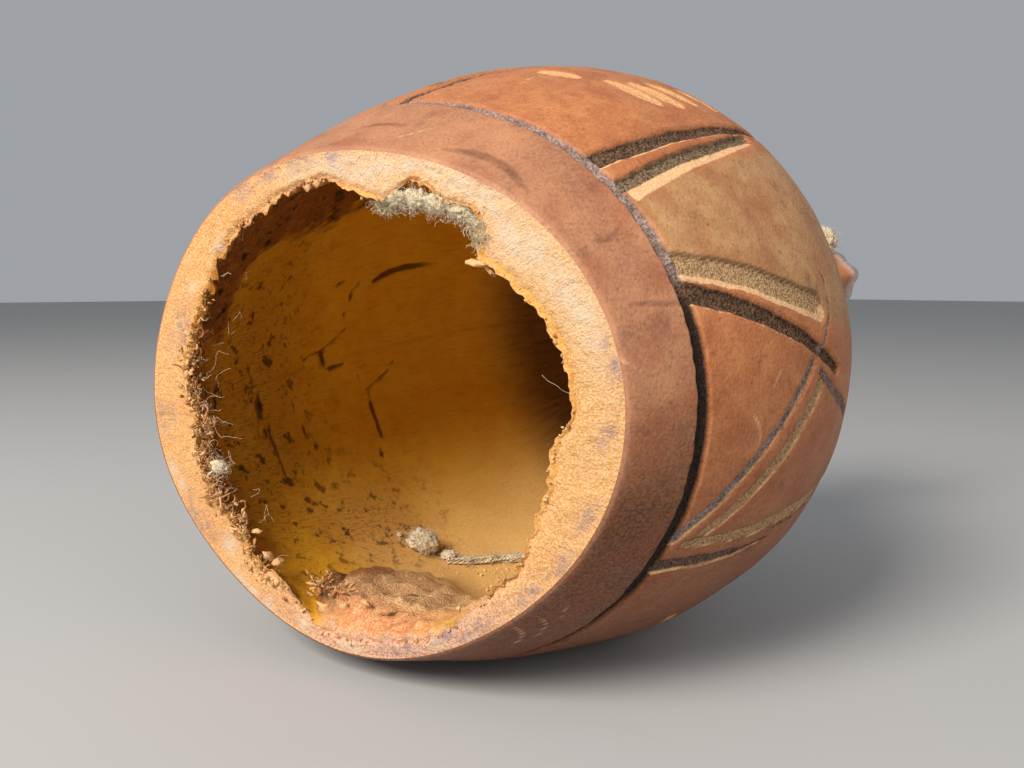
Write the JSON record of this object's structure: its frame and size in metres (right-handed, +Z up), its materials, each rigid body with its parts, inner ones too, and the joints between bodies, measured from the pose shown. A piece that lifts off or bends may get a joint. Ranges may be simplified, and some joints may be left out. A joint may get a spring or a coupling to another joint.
{
  "type": "carved gourd shell",
  "caption": "Small dried gourd, sawn open at the crown and hollow, its outside carved with ringed triangular panels; lies on a small flat on its belly.",
  "frame": {"origin": "middle of the small flat that the belly rests on, at table height", "axes": "+Z up; +Y along the gourd on plan, from the sawn mouth towards the stem; +X across the gourd"},
  "size_m": [0.0925, 0.1302, 0.0865],
  "materials": {
    "gourd_rind": "satin, stained and handled rind"
  },
  "bodies": {
    "root": {"gourd_shell": "gourd_rind"}
  },
  "joints": []
}
